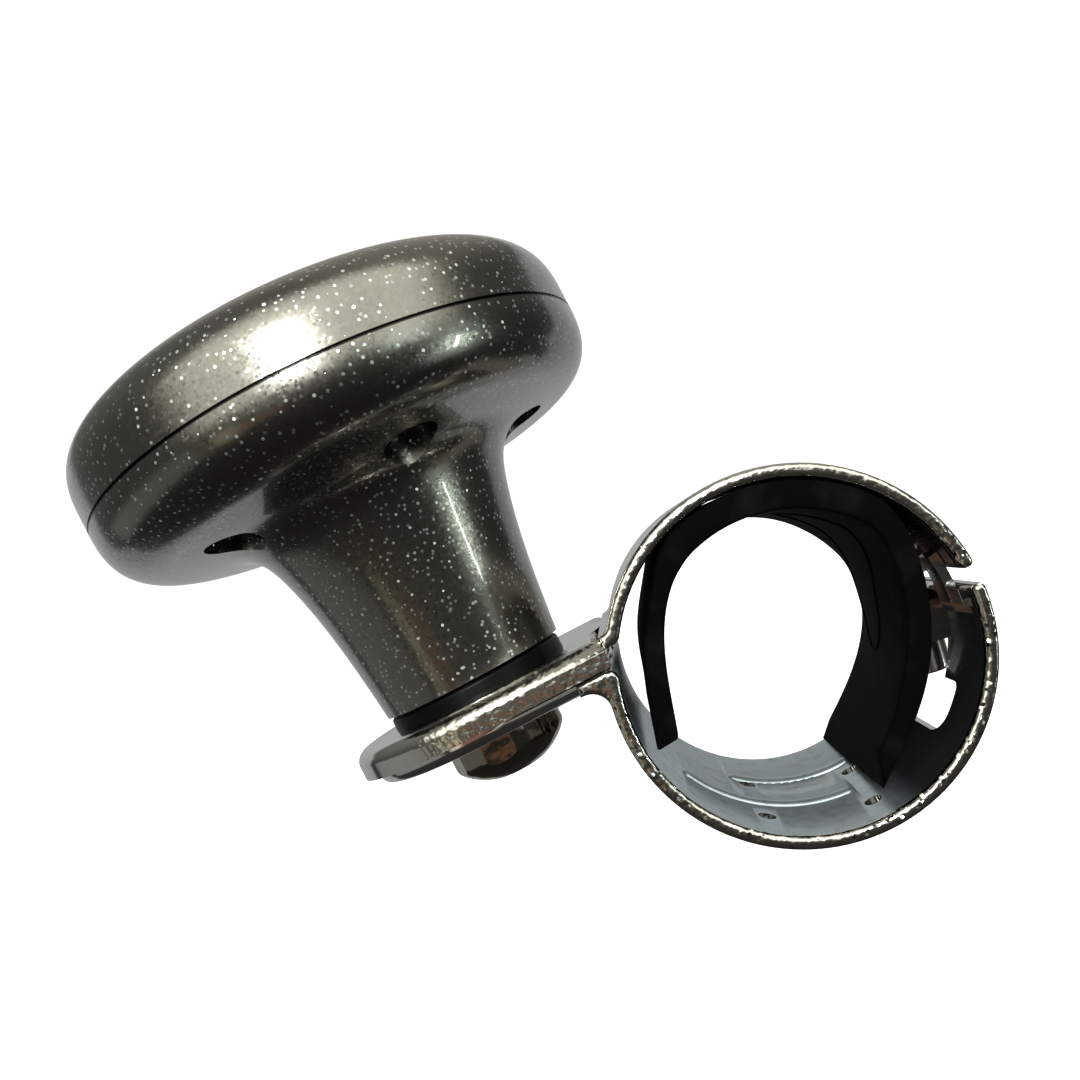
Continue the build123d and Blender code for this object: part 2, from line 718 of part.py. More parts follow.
# Cap screws with cross recesses, deep in the openings of the underside
with BuildPart() as cap_screws:
    with BuildSketch(knob_level(recess_top_z)):
        with PolarLocations(cap_screw_radius, cap_screw_count, start_angle=cap_screw_start_deg):
            Circle(cap_screw_head / 2)
    extrude(amount=-cap_screw_head_height)
    with BuildSketch(knob_level(recess_top_z - cap_screw_head_height)):
        with PolarLocations(cap_screw_radius, cap_screw_count, start_angle=cap_screw_start_deg):
            Rectangle(cross_length, cross_width)
            Rectangle(cross_width, cross_length)
    extrude(amount=cross_depth, mode=Mode.SUBTRACT)
    with BuildSketch(knob_level(recess_top_z)):
        with PolarLocations(cap_screw_radius, cap_screw_count, start_angle=cap_screw_start_deg):
            Circle(cap_screw_diameter / 2)
    extrude(amount=boss_skin + cap_screw_bite)
finish(cap_screws, "cap_screws")
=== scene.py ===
import json
import math

import bpy
import bmesh
from mathutils import Matrix, Vector
from mathutils.bvhtree import BVHTree


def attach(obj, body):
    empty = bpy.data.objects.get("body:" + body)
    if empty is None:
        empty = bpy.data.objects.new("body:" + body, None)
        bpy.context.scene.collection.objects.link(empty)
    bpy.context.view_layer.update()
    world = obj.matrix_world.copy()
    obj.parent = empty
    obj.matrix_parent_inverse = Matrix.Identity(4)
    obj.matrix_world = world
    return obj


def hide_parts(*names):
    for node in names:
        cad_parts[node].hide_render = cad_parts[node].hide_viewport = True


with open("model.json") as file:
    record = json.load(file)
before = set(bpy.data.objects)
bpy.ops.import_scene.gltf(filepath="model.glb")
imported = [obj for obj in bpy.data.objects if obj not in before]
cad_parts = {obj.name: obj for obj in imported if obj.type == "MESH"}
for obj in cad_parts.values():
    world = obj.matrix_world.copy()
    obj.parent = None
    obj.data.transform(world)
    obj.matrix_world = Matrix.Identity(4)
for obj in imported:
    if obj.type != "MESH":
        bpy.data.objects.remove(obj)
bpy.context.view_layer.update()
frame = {"nodes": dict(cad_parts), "record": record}
print("frame loaded:", len(frame["nodes"]), "nodes")

mm = 0.001        # Blender works in metres


def newObject(name, data):
    made = bpy.data.objects.new(name, data)
    bpy.context.scene.collection.objects.link(made)
    return made


# the camera of the photograph, solved from the object's own edges; lengths in mm
cameraView = {
    "eye": (-10.587, -101.985, 18.125),
    "right": (0.882199, 0.071334, -0.465443),
    "forward": (-0.069265, 0.997365, 0.021572),
    "focalPixels": 872.087,
    "centrePixels": (553.909, 554.931),
    "framePixels": 1080,
    "sensorWidth": 36.0,
    "nearest": 5.0,
    "farthest": 60000.0,
}


def cameraAxes():
    right = Vector(cameraView["right"]).normalized()
    forward = Vector(cameraView["forward"]).normalized()
    down = forward.cross(right).normalized()
    right = down.cross(forward).normalized()
    return right, down, forward


def buildCamera():
    right, down, forward = cameraAxes()
    data = bpy.data.cameras.new("photoCamera")
    pixels = cameraView["framePixels"]
    data.sensor_fit = "HORIZONTAL"
    data.sensor_width = cameraView["sensorWidth"]
    data.lens = data.sensor_width * cameraView["focalPixels"] / pixels
    data.shift_x = (pixels / 2 - cameraView["centrePixels"][0]) / pixels
    data.shift_y = (cameraView["centrePixels"][1] - pixels / 2) / pixels
    data.clip_start = cameraView["nearest"] * mm
    data.clip_end = cameraView["farthest"] * mm
    camera = newObject("photoCamera", data)
    turn = Matrix((right, -down, -forward)).transposed()
    camera.matrix_world = Matrix.Translation(Vector(cameraView["eye"]) * mm) @ turn.to_4x4()
    bpy.context.scene.camera = camera


# the room, in metres and degrees: azimuth 0 is +X and 90 is +Y, elevation is over the horizon
# paper is what the camera sees behind the object, the rest is what lights it and what the metal mirrors
room = {
    "target": (-0.016, 0.0, 0.020),
    "paper": 1.1,
    "zenith": (0.26, 0.26, 0.24),
    "horizon": (0.050, 0.050, 0.045),
    "nadir": (0.03, 0.028, 0.026),
    "lamps": {
        "windowKey": {"azimuth": -86, "elevation": 21, "distance": 0.75, "size": (0.14, 0.12),
                      "power": 4.2, "colour": (1.0, 1.0, 1.0)},
        "sideWindow": {"azimuth": -20, "elevation": -16, "distance": 0.75, "size": (0.022, 0.20),
                       "power": 0.45, "colour": (0.88, 1.0, 0.95)},
    },
    "patches": {
        "topCream": {"azimuth": 43, "elevation": 60, "half": (60, 24), "soft": 12,
                     "tint": (1.0, 0.93, 0.80), "strength": 0.20},
        "keyGlow": {"azimuth": -74, "elevation": 34, "half": (52, 22), "soft": 11,
                    "tint": (1.0, 0.99, 0.90), "strength": 1.9},
        "rimGlow": {"azimuth": -41, "elevation": 5, "half": (9, 7), "soft": 6,
                    "tint": (0.92, 1.0, 0.96), "strength": 2.2},
        "sideGlow": {"azimuth": -20, "elevation": -16, "half": (9, 22), "soft": 7,
                     "tint": (0.86, 1.0, 0.94), "strength": 0.9},
        "brownFront": {"azimuth": -107, "elevation": -11, "half": (11, 4), "soft": 3,
                       "tint": (0.55, 0.25, 0.15), "strength": 0.42},
        "creamLeft": {"azimuth": -121, "elevation": -8, "half": (5, 7), "soft": 3,
                      "tint": (1.0, 0.90, 0.66), "strength": 0.7},
        "paperLeft": {"azimuth": -166, "elevation": -7, "half": (31, 11), "soft": 4,
                      "tint": (1.0, 1.0, 0.97), "strength": 0.22},
        "paperBehind": {"azimuth": 96, "elevation": 0, "half": (57, 34), "soft": 4,
                        "tint": (0.97, 1.0, 1.0), "strength": 0.36},
    },
}


def aim(azimuth, elevation):
    a, e = math.radians(azimuth), math.radians(elevation)
    return Vector((math.cos(e) * math.cos(a), math.cos(e) * math.sin(a), math.sin(e)))


def buildLamps():
    target = Vector(room["target"])
    for name, s in room["lamps"].items():
        away = aim(s["azimuth"], s["elevation"])
        data = bpy.data.lights.new(name, "AREA")
        data.shape = "RECTANGLE"
        data.size, data.size_y = s["size"]
        data.energy = s["power"]
        data.color = s["colour"]
        lamp = newObject(name, data)
        lamp.location = target + away * s["distance"]
        lamp.rotation_euler = away.to_track_quat("Z", "Y").to_euler()


def newGroup(name, inputs, outputs):
    group = bpy.data.node_groups.new(name, "ShaderNodeTree")
    for label, kind, value in inputs:
        socket = group.interface.new_socket(label, in_out="INPUT", socket_type=kind)
        socket.default_value = value
    for label, kind in outputs:
        group.interface.new_socket(label, in_out="OUTPUT", socket_type=kind)
    return group, group.nodes.new("NodeGroupInput"), group.nodes.new("NodeGroupOutput")


def feed(tree, socket, value):
    # a socket is linked, a plain value is set, and None leaves the input as it is
    if isinstance(value, bpy.types.NodeSocket):
        tree.links.new(value, socket)
    elif value is not None:
        socket.default_value = value


def mathNode(tree, operation, first, second=None, third=None, clamp=False):
    node = tree.nodes.new("ShaderNodeMath")
    node.operation = operation
    node.use_clamp = clamp
    for socket, value in zip(node.inputs, (first, second, third)):
        feed(tree, socket, value)
    return node.outputs[0]


def vectorNode(tree, operation, first, second=None, scale=None):
    node = tree.nodes.new("ShaderNodeVectorMath")
    node.operation = operation
    feed(tree, node.inputs[0], first)
    feed(tree, node.inputs[1], second)
    if scale is not None:
        feed(tree, node.inputs["Scale"], scale)
    return node.outputs["Value"] if operation == "DOT_PRODUCT" else node.outputs["Vector"]


def smoothStep(tree, value, low, high):
    node = tree.nodes.new("ShaderNodeMapRange")
    node.interpolation_type = "SMOOTHSTEP"
    feed(tree, node.inputs["Value"], value)
    feed(tree, node.inputs["From Min"], low)
    feed(tree, node.inputs["From Max"], high)
    return node.outputs["Result"]


def splitPlace(tree):
    # the X, Y and Z of the point, in metres in the part's own frame
    place = tree.nodes.new("ShaderNodeTexCoord")
    split = tree.nodes.new("ShaderNodeSeparateXYZ")
    tree.links.new(place.outputs["Object"], split.inputs[0])
    return split.outputs


def patchGroup():
    # a soft-edged bright or coloured panel of the room, seen from the object; angles in degrees
    group, entry, leave = newGroup(
        "roomPatch",
        [("Along", "NodeSocketVector", (0, 0, 1)), ("Right", "NodeSocketVector", (1, 0, 0)),
         ("Up", "NodeSocketVector", (0, 1, 0)), ("Half width", "NodeSocketFloat", 20.0),
         ("Half height", "NodeSocketFloat", 20.0), ("Soft", "NodeSocketFloat", 5.0),
         ("Tint", "NodeSocketVector", (1, 1, 1)), ("Strength", "NodeSocketFloat", 1.0)],
        [("Light", "NodeSocketVector")],
    )
    place = group.nodes.new("ShaderNodeTexCoord")
    direction = vectorNode(group, "NORMALIZE", place.outputs["Generated"])
    along = vectorNode(group, "DOT_PRODUCT", direction, entry.outputs["Along"])
    light = entry.outputs["Strength"]
    for axis, half in (("Right", "Half width"), ("Up", "Half height")):
        across = vectorNode(group, "DOT_PRODUCT", direction, entry.outputs[axis])
        angle = mathNode(group, "ABSOLUTE", mathNode(group, "ARCTAN2", across, along))
        degreesAway = mathNode(group, "DEGREES", angle)
        outer = mathNode(group, "ADD", entry.outputs[half], entry.outputs["Soft"])
        inner = mathNode(group, "SUBTRACT", entry.outputs[half], entry.outputs["Soft"])
        light = mathNode(group, "MULTIPLY", light, smoothStep(group, degreesAway, outer, inner))
    group.links.new(vectorNode(group, "SCALE", entry.outputs["Tint"], scale=light), leave.inputs["Light"])
    return group


def addPatches(tree, total):
    group = patchGroup()
    for name, s in room["patches"].items():
        along = aim(s["azimuth"], s["elevation"])
        right = Vector((-along.y, along.x, 0)).normalized()
        node = tree.nodes.new("ShaderNodeGroup")
        node.name = name
        node.node_tree = group
        node.inputs["Along"].default_value = along
        node.inputs["Right"].default_value = right
        node.inputs["Up"].default_value = along.cross(right).normalized()
        node.inputs["Half width"].default_value, node.inputs["Half height"].default_value = s["half"]
        node.inputs["Soft"].default_value = s["soft"]
        node.inputs["Tint"].default_value = s["tint"]
        node.inputs["Strength"].default_value = s["strength"]
        total = vectorNode(tree, "ADD", total, node.outputs["Light"])
    return total


def buildWorld():
    world = bpy.data.worlds.new("paleRoom")
    bpy.context.scene.world = world
    world.use_nodes = True
    tree = world.node_tree
    tree.nodes.clear()
    link = tree.links.new
    out = tree.nodes.new("ShaderNodeOutputWorld")
    mix = tree.nodes.new("ShaderNodeMixShader")
    seen = tree.nodes.new("ShaderNodeBackground")
    mirrored = tree.nodes.new("ShaderNodeBackground")
    path = tree.nodes.new("ShaderNodeLightPath")
    place = tree.nodes.new("ShaderNodeTexCoord")
    split = tree.nodes.new("ShaderNodeSeparateXYZ")
    ramp = tree.nodes.new("ShaderNodeValToRGB")
    seen.inputs["Color"].default_value = (1, 1, 1, 1)
    seen.inputs["Strength"].default_value = room["paper"]
    link(vectorNode(tree, "NORMALIZE", place.outputs["Generated"]), split.inputs[0])
    height = mathNode(tree, "MULTIPLY_ADD", split.outputs["Z"], 0.5, 0.5)        # from -1..1 to 0..1
    link(height, ramp.inputs["Fac"])
    stops = ramp.color_ramp.elements
    stops[0].position, stops[0].color = 0.0, (*room["nadir"], 1)
    stops[1].position, stops[1].color = 1.0, (*room["zenith"], 1)
    middle = stops.new(0.5)
    middle.color = (*room["horizon"], 1)
    link(addPatches(tree, ramp.outputs["Color"]), mirrored.inputs["Color"])
    link(path.outputs["Is Camera Ray"], mix.inputs["Fac"])
    link(mirrored.outputs[0], mix.inputs[1])
    link(seen.outputs[0], mix.inputs[2])
    link(mix.outputs[0], out.inputs["Surface"])


# z and size are in metres
floorSheet = {"z": -0.160, "size": 12.0, "paint": (0.93, 0.93, 0.93, 1), "roughness": 0.9}


def buildFloor():
    # as white as the paper, and seen by the camera alone
    half, z = floorSheet["size"] / 2, floorSheet["z"]
    mesh = bpy.data.meshes.new("floor")
    corners = [(-half, -half, z), (half, -half, z), (half, half, z), (-half, half, z)]
    mesh.from_pydata(corners, [], [(0, 1, 2, 3)])
    floor = newObject("floor", mesh)
    paint = bpy.data.materials.new("paleFloor")
    paint.use_nodes = True
    shader = paint.node_tree.nodes["Principled BSDF"]
    shader.inputs["Base Color"].default_value = floorSheet["paint"]
    shader.inputs["Roughness"].default_value = floorSheet["roughness"]
    shader.inputs["Emission Color"].default_value = (1, 1, 1, 1)
    shader.inputs["Emission Strength"].default_value = room["paper"]
    mesh.materials.append(paint)
    floor.visible_glossy = False
    floor.visible_diffuse = False
    floor.visible_shadow = False


buildCamera()
buildLamps()
buildWorld()
buildFloor()
bpy.context.scene.view_settings.view_transform = "Standard"
print("camera, room and floor ready")


# effects that several finishes share
def speckGroup():
    # cloudy noise of one size, as a height and as a patch mask
    group, entry, leave = newGroup(
        "skinSpecks",
        [("Size mm", "NodeSocketFloat", 1.0), ("Detail", "NodeSocketFloat", 3.0),
         ("Threshold", "NodeSocketFloat", 0.5), ("Sharpness", "NodeSocketFloat", 8.0)],
        [("Height", "NodeSocketFloat"), ("Mask", "NodeSocketFloat")],
    )
    place = group.nodes.new("ShaderNodeTexCoord")
    noise = group.nodes.new("ShaderNodeTexNoise")
    group.links.new(place.outputs["Object"], noise.inputs["Vector"])
    feed(group, noise.inputs["Scale"], mathNode(group, "DIVIDE", 1 / mm, entry.outputs["Size mm"]))
    feed(group, noise.inputs["Detail"], entry.outputs["Detail"])
    above = mathNode(group, "SUBTRACT", noise.outputs["Fac"], entry.outputs["Threshold"])
    mask = mathNode(group, "MULTIPLY", above, entry.outputs["Sharpness"], clamp=True)
    group.links.new(noise.outputs["Fac"], leave.inputs["Height"])
    group.links.new(mask, leave.inputs["Mask"])
    return group


def flakeGroup():
    # scattered discs, each tilting the normal its own way, for metal flakes and beads of plating
    group, entry, leave = newGroup(
        "metalFlakes",
        [("Spacing mm", "NodeSocketFloat", 0.8), ("Radius", "NodeSocketFloat", 0.25),
         ("Tilt", "NodeSocketFloat", 0.5), ("Share", "NodeSocketFloat", 0.5),
         ("Normal", "NodeSocketVector", (0, 0, 1))],
        [("Normal", "NodeSocketVector"), ("Flake", "NodeSocketFloat"), ("Tint", "NodeSocketFloat")],
    )
    place = group.nodes.new("ShaderNodeTexCoord")
    cells = group.nodes.new("ShaderNodeTexVoronoi")
    group.links.new(place.outputs["Object"], cells.inputs["Vector"])
    feed(group, cells.inputs["Scale"], mathNode(group, "DIVIDE", 1 / mm, entry.outputs["Spacing mm"]))
    own = group.nodes.new("ShaderNodeSeparateColor")
    group.links.new(cells.outputs["Color"], own.inputs[0])
    inside = mathNode(group, "LESS_THAN", cells.outputs["Distance"], entry.outputs["Radius"])
    chosen = mathNode(group, "LESS_THAN", own.outputs[2], entry.outputs["Share"])
    flake = mathNode(group, "MULTIPLY", inside, chosen)
    centred = vectorNode(group, "SUBTRACT", cells.outputs["Color"], (0.5, 0.5, 0.5))
    strength = mathNode(group, "MULTIPLY", flake, entry.outputs["Tilt"])
    tilted = vectorNode(group, "SCALE", centred, scale=strength)
    summed = vectorNode(group, "ADD", entry.outputs["Normal"], tilted)
    group.links.new(vectorNode(group, "NORMALIZE", summed), leave.inputs["Normal"])
    group.links.new(flake, leave.inputs["Flake"])
    group.links.new(own.outputs[0], leave.inputs["Tint"])
    return group


groups = {"specks": speckGroup(), "flakes": flakeGroup()}


def newMaterial(name):
    material = bpy.data.materials.new(name)
    material.use_nodes = True
    tree = material.node_tree
    return material, tree, tree.nodes["Principled BSDF"]


def placeGroup(tree, key, values):
    # values hold the group's inputs by name; a depth among them, in mm, is for the bump that follows
    node = tree.nodes.new("ShaderNodeGroup")
    node.node_tree = groups[key]
    for label, value in values.items():
        if label != "depth":
            feed(tree, node.inputs[label], value)
    return node


def mixColours(tree, fac, first, second):
    node = tree.nodes.new("ShaderNodeMix")
    node.data_type = "RGBA"
    for socket, value in ((node.inputs[0], fac), (node.inputs[6], first), (node.inputs[7], second)):
        feed(tree, socket, value)
    return node.outputs[2]


def mixValues(tree, fac, first, second):
    node = tree.nodes.new("ShaderNodeMix")
    for socket, value in ((node.inputs[0], fac), (node.inputs[2], first), (node.inputs[3], second)):
        feed(tree, socket, value)
    return node.outputs[0]


def bumpFrom(tree, height, depth, under=None):
    # depth in mm from the lowest to the highest point of the pattern
    node = tree.nodes.new("ShaderNodeBump")
    node.inputs["Distance"].default_value = depth * mm
    tree.links.new(height, node.inputs["Height"])
    if under is not None:
        tree.links.new(under, node.inputs["Normal"])
    return node.outputs["Normal"]


# the shade painted where the cap meets the housing is a line at height z, full to half on either side and
# gone at fade, all in mm
knobPaint = {
    "body": (0.190, 0.182, 0.155, 1),
    "shade": (0.150, 0.148, 0.122, 1),
    "flake": (0.56, 0.61, 0.59, 1),
    "pale": (0.30, 0.31, 0.28, 1),
    "paleShare": 0.22,
    "metallic": 1.0,
    "roughness": 0.25,
    "flakeRoughness": 0.36,
    "coatRoughness": 0.05,
    "coarse": {"Spacing mm": 0.62, "Radius": 0.26, "Tilt": 0.50, "Share": 0.70},
    "fine": {"Spacing mm": 0.30, "Radius": 0.6, "Tilt": 0.10, "Share": 0.7},
    "grain": {"Size mm": 0.8, "Detail": 2.0, "depth": 0.003},
    "cloud": {"Size mm": 8.0, "Detail": 2.0},
    "seamShade": {"z": 44.31, "half": 0.10, "fade": 0.26, "colour": (0.012, 0.012, 0.011, 1)},
}


def makeKnobPaint():
    # coarse and fine flakes under a clear coat, with a line of painted shade where the cap meets the housing
    s = knobPaint
    material, tree, shader = newMaterial("knobFlakePaint")
    grain = placeGroup(tree, "specks", s["grain"])
    skin = bumpFrom(tree, grain.outputs["Height"], s["grain"]["depth"])
    fine = placeGroup(tree, "flakes", {**s["fine"], "Normal": skin})
    coarse = placeGroup(tree, "flakes", {**s["coarse"], "Normal": fine.outputs["Normal"]})
    cloud = placeGroup(tree, "specks", s["cloud"])
    base = mixColours(tree, cloud.outputs["Height"], s["body"], s["shade"])
    paleness = mathNode(tree, "MULTIPLY", fine.outputs["Tint"], s["paleShare"])
    speckled = mixColours(tree, paleness, base, s["pale"])
    sparkling = mixColours(tree, coarse.outputs["Flake"], speckled, s["flake"])
    # painted shade: next to the gap between cap and housing the colour goes near black, standing in for the
    # shadow inside it
    aside = mathNode(tree, "SUBTRACT", splitPlace(tree)["Z"], s["seamShade"]["z"] * mm)
    away = mathNode(tree, "ABSOLUTE", aside)
    clear = smoothStep(tree, away, s["seamShade"]["half"] * mm, s["seamShade"]["fade"] * mm)
    rough = mixValues(tree, coarse.outputs["Flake"], s["roughness"], s["flakeRoughness"])
    tree.links.new(mixColours(tree, clear, s["seamShade"]["colour"], sparkling), shader.inputs["Base Color"])
    tree.links.new(clear, shader.inputs["Coat Weight"])
    tree.links.new(coarse.outputs["Normal"], shader.inputs["Normal"])
    tree.links.new(rough, shader.inputs["Roughness"])
    shader.inputs["Metallic"].default_value = s["metallic"]
    shader.inputs["Coat Roughness"].default_value = s["coatRoughness"]
    return material


# rim, beadedX and beadedZ are pairs of places in mm: where an effect starts, and where it is full
# rim is measured across the band's width, on either side of its middle
clampPlating = {
    "colour": (0.72, 0.72, 0.70, 1),
    "dull": (0.56, 0.55, 0.52, 1),
    "edge": (0.60, 0.59, 0.53, 1),
    "metallic": 1.0,
    "roughness": 0.07,
    "edgeRoughness": 0.17,
    "wave": {"Size mm": 8.0, "Detail": 1.0, "depth": 0.10},
    "dent": {"Size mm": 2.2, "Detail": 1.5, "depth": 0.018},
    "pit": {"Size mm": 0.8, "Detail": 1.0, "depth": 0.11},
    "rim": (14.9, 15.5),
    "beads": {"Spacing mm": 0.60, "Radius": 0.36, "Share": 0.75},
    "beadTilt": 1.1,
    "beadedX": (-19.5, -18.5),
    "beadedZ": (8.0, 2.0),
}


def makeClampChrome():
    # bright plating with the slow waves of the pressing, pitted and beaded along the cut edges
    s = clampPlating
    material, tree, shader = newMaterial("clampChrome")
    wave = placeGroup(tree, "specks", s["wave"])
    dent = placeGroup(tree, "specks", s["dent"])
    pit = placeGroup(tree, "specks", s["pit"])
    place = splitPlace(tree)
    rim = smoothStep(tree, mathNode(tree, "ABSOLUTE", place["Y"]), s["rim"][0] * mm, s["rim"][1] * mm)
    slow = bumpFrom(tree, wave.outputs["Height"], s["wave"]["depth"])
    dented = bumpFrom(tree, dent.outputs["Height"], s["dent"]["depth"], under=slow)
    pits = mathNode(tree, "MULTIPLY", pit.outputs["Height"], rim)
    pitted = bumpFrom(tree, pits, s["pit"]["depth"], under=dented)
    onBand = smoothStep(tree, place["X"], s["beadedX"][0] * mm, s["beadedX"][1] * mm)
    low = smoothStep(tree, place["Z"], s["beadedZ"][0] * mm, s["beadedZ"][1] * mm)
    beaded = mathNode(tree, "MULTIPLY", mathNode(tree, "MULTIPLY", onBand, low), rim)
    tilt = mathNode(tree, "MULTIPLY", beaded, s["beadTilt"])
    beads = placeGroup(tree, "flakes", {**s["beads"], "Tilt": tilt, "Normal": pitted})
    base = mixColours(tree, dent.outputs["Height"], s["dull"], s["colour"])
    rough = mixValues(tree, rim, s["roughness"], s["edgeRoughness"])
    tree.links.new(mixColours(tree, rim, base, s["edge"]), shader.inputs["Base Color"])
    tree.links.new(beads.outputs["Normal"], shader.inputs["Normal"])
    tree.links.new(rough, shader.inputs["Roughness"])
    shader.inputs["Metallic"].default_value = s["metallic"]
    return material


# the polish entry holds the places along X, in mm, between which the satin turns into a smoother polish, and
# the deeper colour there is a painted reflection of the black liner facing it
bandInside = {
    "colour": (0.52, 0.60, 0.63, 1),
    "worn": (0.36, 0.42, 0.45, 1),
    "linerReflectionPaint": (0.10, 0.105, 0.115, 1),
    "metallic": 0.85,
    "roughness": 0.24,
    "spread": 0.20,
    "polishAndPaintedReflection": {"from": 1.5, "to": 5.0, "roughness": 0.12},
    "wave": {"Size mm": 6.0, "Detail": 2.0, "depth": 0.05},
    "streak": {"Size mm": 1.6, "Detail": 3.0, "Sharpness": 4.0, "depth": 0.010},
}


def makeBandInside():
    # the band's inner face, left satin by the plating, its polish on one side deepened in colour by a painted
    # reflection of the black liner
    s = bandInside
    material, tree, shader = newMaterial("bandInside")
    wave = placeGroup(tree, "specks", s["wave"])
    streak = placeGroup(tree, "specks", s["streak"])
    slow = bumpFrom(tree, wave.outputs["Height"], s["wave"]["depth"])
    streaked = bumpFrom(tree, streak.outputs["Height"], s["streak"]["depth"], under=slow)
    base = mixColours(tree, streak.outputs["Mask"], s["colour"], s["worn"])
    satin = mathNode(tree, "MULTIPLY_ADD", wave.outputs["Height"], s["spread"], s["roughness"])
    start, full = s["polishAndPaintedReflection"]["from"] * mm, s["polishAndPaintedReflection"]["to"] * mm
    polishAndPaintedReflection = smoothStep(tree, splitPlace(tree)["X"], start, full)
    rough = mixValues(tree, polishAndPaintedReflection, satin, s["polishAndPaintedReflection"]["roughness"])
    # painted reflection: where the face turns to polish its colour goes deeper, standing in for the black
    # liner mirrored in it
    tree.links.new(mixColours(tree, polishAndPaintedReflection, base, s["linerReflectionPaint"]), shader.inputs["Base Color"])
    tree.links.new(streaked, shader.inputs["Normal"])
    tree.links.new(rough, shader.inputs["Roughness"])
    shader.inputs["Metallic"].default_value = s["metallic"]
    return material


# plated and ground metals, each with slow waves and most with a fine grain over them
metals = {
    "bolt_chrome": {"name": "boltChrome", "colour": (0.30, 0.28, 0.22, 1), "roughness": 0.07,
                    "wave": {"Size mm": 2.0, "Detail": 1.5, "depth": 0.16},
                    "grain": {"Size mm": 0.8, "Detail": 2.0, "depth": 0.006}},
    "screw_steel": {"name": "screwSteel", "colour": (0.66, 0.63, 0.60, 1), "roughness": 0.14,
                    "wave": {"Size mm": 2.0, "Detail": 1.5, "depth": 0.01},
                    "grain": {"Size mm": 0.4, "Detail": 2.0, "depth": 0.004}},
    "screw_black": {"name": "screwBlack", "colour": (0.05, 0.05, 0.05, 1), "roughness": 0.35,
                    "wave": {"Size mm": 2.0, "Detail": 1.5, "depth": 0.01},
                    "grain": {"Size mm": 0.4, "Detail": 2.0, "depth": 0.004}},
    "spacer_steel": {"name": "spacerSteel", "colour": (0.50, 0.50, 0.50, 1), "roughness": 0.25,
                     "wave": {"Size mm": 3.0, "Detail": 1.5, "depth": 0.01},
                     "grain": {"Size mm": 0.3, "Detail": 2.0, "depth": 0.005}},
    "bearing_steel": {"name": "bearingSteel", "colour": (0.60, 0.60, 0.61, 1), "roughness": 0.15,
                      "wave": {"Size mm": 3.0, "Detail": 1.5, "depth": 0.004}},
    "ball_steel": {"name": "ballSteel", "colour": (0.72, 0.72, 0.73, 1), "roughness": 0.04,
                   "wave": {"Size mm": 3.0, "Detail": 1.5, "depth": 0.002}},
}
metalSkin = {"metallic": 1.0, "dullShare": 0.82, "spread": 0.05}


def makeMetal(s):
    material, tree, shader = newMaterial(s["name"])
    wave = placeGroup(tree, "specks", s["wave"])
    normal = bumpFrom(tree, wave.outputs["Height"], s["wave"]["depth"])
    if "grain" in s:
        grain = placeGroup(tree, "specks", s["grain"])
        normal = bumpFrom(tree, grain.outputs["Height"], s["grain"]["depth"], under=normal)
    dull = tuple(c * metalSkin["dullShare"] for c in s["colour"][:3]) + (1,)
    gloss = mathNode(tree, "MULTIPLY_ADD", wave.outputs["Height"], metalSkin["spread"], s["roughness"])
    tree.links.new(mixColours(tree, wave.outputs["Height"], dull, s["colour"]), shader.inputs["Base Color"])
    tree.links.new(normal, shader.inputs["Normal"])
    tree.links.new(gloss, shader.inputs["Roughness"])
    shader.inputs["Metallic"].default_value = metalSkin["metallic"]
    return material


# the lens-shaped outline on the liner: middle and halfTurn in degrees round the band's axis, halfWidth and
# the cord's radius in mm, fade as a share of the lens's size
lensLine = {
    "middle": 14.0,
    "halfTurn": 47.0,
    "halfWidth": 6.5,
    "fade": 0.08,
    "cord": 0.16,
    "steps": 140,
    "sides": 8,
}

# rubber and plastics, each paler where it is rubbed
dulls = {
    # the liner's outline colour is painted shade along its raised line
    "liner_rubber": {"name": "linerRubber", "colour": (0.0012, 0.0012, 0.0013, 1),
                     "rubbed": (0.005, 0.0052, 0.0052, 1), "outlineShade": (0.0002, 0.0002, 0.0002, 1),
                     "roughness": 0.75, "spread": 0.12, "specular": 0.035,
                     "grain": {"Size mm": 0.45, "Detail": 4.0, "depth": 0.03},
                     "worn": {"Size mm": 5.0, "Detail": 4.0, "Threshold": 0.52, "Sharpness": 5.0}},
    "washer_black": {"name": "washerBlack", "colour": (0.0015, 0.0015, 0.0015, 1),
                     "rubbed": (0.00655, 0.00655, 0.00655, 1),
                     "roughness": 0.30, "spread": 0.15, "specular": 0.12,
                     "grain": {"Size mm": 1.2, "Detail": 4.0, "depth": 0.01},
                     "worn": {"Size mm": 7.0, "Detail": 3.0}},
    "cage_plastic": {"name": "cagePlastic", "colour": (0.16, 0.09, 0.03, 1),
                     "rubbed": (0.276, 0.157, 0.055, 1),
                     "roughness": 0.45, "spread": 0.15, "specular": 0.5,
                     "grain": {"Size mm": 0.5, "Detail": 4.0, "depth": 0.006},
                     "worn": {"Size mm": 7.0, "Detail": 3.0}},
}


def lensMask(tree):
    # 0 on the outline, where its painted shade is full, and 1 away from it: on the outline, around and across
    # are a unit circle
    o = lensLine
    place = splitPlace(tree)
    ringDegrees = mathNode(tree, "DEGREES", mathNode(tree, "ARCTAN2", place["Z"], place["X"]))
    around = mathNode(tree, "DIVIDE", mathNode(tree, "SUBTRACT", ringDegrees, o["middle"]), o["halfTurn"])
    across = mathNode(tree, "DIVIDE", place["Y"], o["halfWidth"] * mm)
    aroundSquare = mathNode(tree, "POWER", around, 2.0)
    squares = mathNode(tree, "ADD", aroundSquare, mathNode(tree, "POWER", across, 2.0))
    away = mathNode(tree, "ABSOLUTE", mathNode(tree, "SUBTRACT", mathNode(tree, "SQRT", squares), 1.0))
    return smoothStep(tree, away, 0.0, o["fade"])


